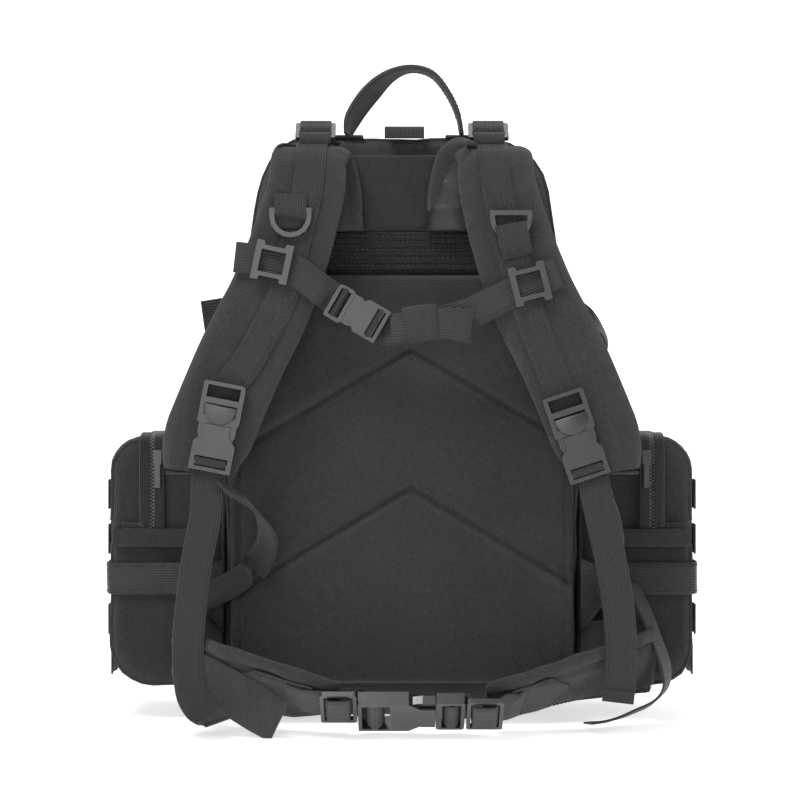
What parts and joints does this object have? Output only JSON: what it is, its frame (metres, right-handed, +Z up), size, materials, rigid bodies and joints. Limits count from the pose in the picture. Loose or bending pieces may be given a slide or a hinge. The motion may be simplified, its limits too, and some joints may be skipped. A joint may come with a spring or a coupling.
{
  "type": "trauma backpack",
  "caption": "First-responder backpack with a clamshell main compartment, side and front pouches, padded shoulder straps, a chest strap and a buckled hip belt.",
  "frame": {"origin": "middle of the flat base of the main pack, on the floor it stands on", "axes": "+Z up, -Y out of the shoulder harness towards the wearer, +X to the right for someone who faces the harness"},
  "size_m": [0.5028, 0.3248, 0.5487],
  "materials": {
    "pack_cloth": "matte",
    "pad_cloth": "matte",
    "webbing": "matte",
    "mesh": "matte",
    "buckle_plastic": "satin",
    "sheet_plastic": "matte",
    "zip_slider": "satin"
  },
  "bodies": {
    "pack": {"main_shell": "pack_cloth", "back_pad": "pad_cloth", "yoke_band": "mesh", "upper_back_panel": "pack_cloth", "frame_sheet": "sheet_plastic", "inner_sleeve": "pack_cloth", "top_tab": "webbing", "front_pouch": "pack_cloth", "left_side_pouch": "pack_cloth", "left_lower_strap": "webbing", "left_upper_strap": "webbing", "left_shoulder_root": "pad_cloth", "left_lifter_strap": "webbing", "left_anchor_strap": "webbing", "right_side_pouch": "pack_cloth", "right_lower_strap": "webbing", "right_upper_strap": "webbing", "right_shoulder_root": "pad_cloth", "right_lifter_strap": "webbing", "right_anchor_strap": "webbing"},
    "haul_handle": {"haul_handle": "webbing"},
    "front_flap": {"front_flap": "pack_cloth", "front_pocket": "pack_cloth"},
    "front_pouch_lid": {"front_pouch_flap": "pack_cloth"},
    "left_pouch_flap": {"left_pouch_flap": "pack_cloth"},
    "left_pouch_slider": {"left_pouch_slider": "zip_slider"},
    "left_main_slider": {"left_main_slider": "zip_slider"},
    "left_lifter_buckle": {"left_lifter_buckle": "buckle_plastic"},
    "right_pouch_flap": {"right_pouch_flap": "pack_cloth"},
    "right_pouch_slider": {"right_pouch_slider": "zip_slider"},
    "right_main_slider": {"right_main_slider": "zip_slider"},
    "right_lifter_buckle": {"right_lifter_buckle": "buckle_plastic"},
    "harness": {"left_shoulder_pad": "pad_cloth", "left_shoulder_web": "webbing", "left_shoulder_male": "buckle_plastic", "right_shoulder_pad": "pad_cloth", "right_shoulder_web": "webbing", "right_shoulder_male": "buckle_plastic"},
    "left_d_ring": {"left_d_ring": "buckle_plastic"},
    "right_d_ring": {"right_d_ring": "buckle_plastic"},
    "left_shoulder_release": {"left_shoulder_female": "buckle_plastic", "left_strap_tail": "webbing"},
    "right_shoulder_release": {"right_shoulder_female": "buckle_plastic", "right_strap_tail": "webbing"},
    "chest_strap": {"left_chest_slider": "buckle_plastic", "right_chest_slider": "buckle_plastic", "left_chest_web": "webbing", "right_chest_web": "webbing", "chest_male": "buckle_plastic"},
    "chest_female": {"chest_female": "buckle_plastic"},
    "hip_belt": {"left_hip_wing": "pad_cloth", "right_hip_wing": "pad_cloth", "left_hip_web": "webbing", "right_hip_web": "webbing", "left_tri_glide": "buckle_plastic", "hip_female": "buckle_plastic"},
    "hip_male": {"hip_male": "buckle_plastic", "right_tri_glide": "buckle_plastic"},
    "hip_lower_prong": {"hip_lower_prong": "buckle_plastic"},
    "hip_upper_prong": {"hip_upper_prong": "buckle_plastic"}
  },
  "joints": [
    {"name": "haul_handle_swing", "type": "hinge", "parent": "pack", "child": "haul_handle", "pos_m": [0.002, -0.08, 0.4935], "axis": [1, 0, 0], "range_deg": [-50, 75]},
    {"name": "front_flap_open", "type": "hinge", "parent": "pack", "child": "front_flap", "pos_m": [0, 0.0652, 0.19], "axis": [-1, 0, 0], "range_deg": [0, 80]},
    {"name": "front_pouch_lid_open", "type": "hinge", "parent": "pack", "child": "front_pouch_lid", "pos_m": [0, 0.1374, 0.096], "axis": [-1, 0, 0], "range_deg": [0, 75]},
    {"name": "left_pouch_flap_open", "type": "hinge", "parent": "pack", "child": "left_pouch_flap", "pos_m": [-0.247, 0, 0.157], "axis": [0, -1, 0], "range_deg": [0, 100]},
    {"name": "left_pouch_zip", "type": "slide", "parent": "pack", "child": "left_pouch_slider", "axis": [0, 0, -1], "range_m": [0, 0.055]},
    {"name": "left_main_zip", "type": "slide", "parent": "pack", "child": "left_main_slider", "axis": [-1, 0, 0], "range_m": [0, 0.048]},
    {"name": "left_lifter_buckle_tilt", "type": "hinge", "parent": "pack", "child": "left_lifter_buckle", "pos_m": [-0.071, -0.1036, 0.4977], "axis": [-1, 0, 0], "range_deg": [0, 35]},
    {"name": "right_pouch_flap_open", "type": "hinge", "parent": "pack", "child": "right_pouch_flap", "pos_m": [0.247, 0, 0.157], "axis": [0, 1, 0], "range_deg": [0, 100]},
    {"name": "right_pouch_zip", "type": "slide", "parent": "pack", "child": "right_pouch_slider", "axis": [0, 0, -1], "range_m": [0, 0.055]},
    {"name": "right_main_zip", "type": "slide", "parent": "pack", "child": "right_main_slider", "axis": [1, 0, 0], "range_m": [0, 0.048]},
    {"name": "right_lifter_buckle_tilt", "type": "hinge", "parent": "pack", "child": "right_lifter_buckle", "pos_m": [0.071, -0.1036, 0.4977], "axis": [-1, 0, 0], "range_deg": [0, 35]},
    {"name": "harness_swing", "type": "hinge", "parent": "pack", "child": "harness", "pos_m": [0, -0.116, 0.457], "axis": [-1, 0, 0], "range_deg": [0, 25], "deforming": ["left_anchor_strap", "right_anchor_strap"]},
    {"name": "left_ring_swing", "type": "hinge", "parent": "harness", "child": "left_d_ring", "pos_m": [-0.09, -0.1442, 0.423], "axis": [-1, 0, 0], "range_deg": [0, 120]},
    {"name": "right_ring_swing", "type": "hinge", "parent": "harness", "child": "right_d_ring", "pos_m": [0.088, -0.1455, 0.3995], "axis": [1, 0, 0], "range_deg": [0, 120]},
    {"name": "left_shoulder_release_slide", "type": "slide", "parent": "harness", "child": "left_shoulder_release", "axis": [-0.1891, 0, -0.982], "range_m": [0, 0.026]},
    {"name": "right_shoulder_release_slide", "type": "slide", "parent": "harness", "child": "right_shoulder_release", "axis": [0.3156, 0, -0.9489], "range_m": [0, 0.026]},
    {"name": "chest_strap_height", "type": "slide", "parent": "harness", "child": "chest_strap", "axis": [0, -0.0473, -0.9989], "range_m": [0, 0.03]},
    {"name": "chest_release_slide", "type": "slide", "parent": "chest_strap", "child": "chest_female", "axis": [0.866, 0, -0.5], "range_m": [0, 0.024], "deforming": ["right_chest_web"]},
    {"name": "hip_belt_swing", "type": "hinge", "parent": "pack", "child": "hip_belt", "pos_m": [0, -0.072, 0.09], "axis": [-1, 0, 0], "range_deg": [0, 30]},
    {"name": "hip_release_slide", "type": "slide", "parent": "hip_belt", "child": "hip_male", "axis": [1, 0, 0], "range_m": [0, 0.03]},
    {"name": "hip_lower_prong_squeeze", "type": "hinge", "parent": "hip_male", "child": "hip_lower_prong", "pos_m": [0.0266, -0.14476, 0.01033], "axis": [0, 0.5736, 0.8192], "range_deg": [0, 6], "stiffness_Nm_per_rad": 0.05},
    {"name": "hip_upper_prong_squeeze", "type": "hinge", "parent": "hip_male", "child": "hip_upper_prong", "pos_m": [0.0266, -0.17524, 0.03167], "axis": [0, 0.5736, 0.8192], "range_deg": [-6, 0], "stiffness_Nm_per_rad": 0.05}
  ],
  "couplings": [
    {"joint": "hip_upper_prong_squeeze", "follows": "hip_lower_prong_squeeze", "ratio": -1}
  ]
}
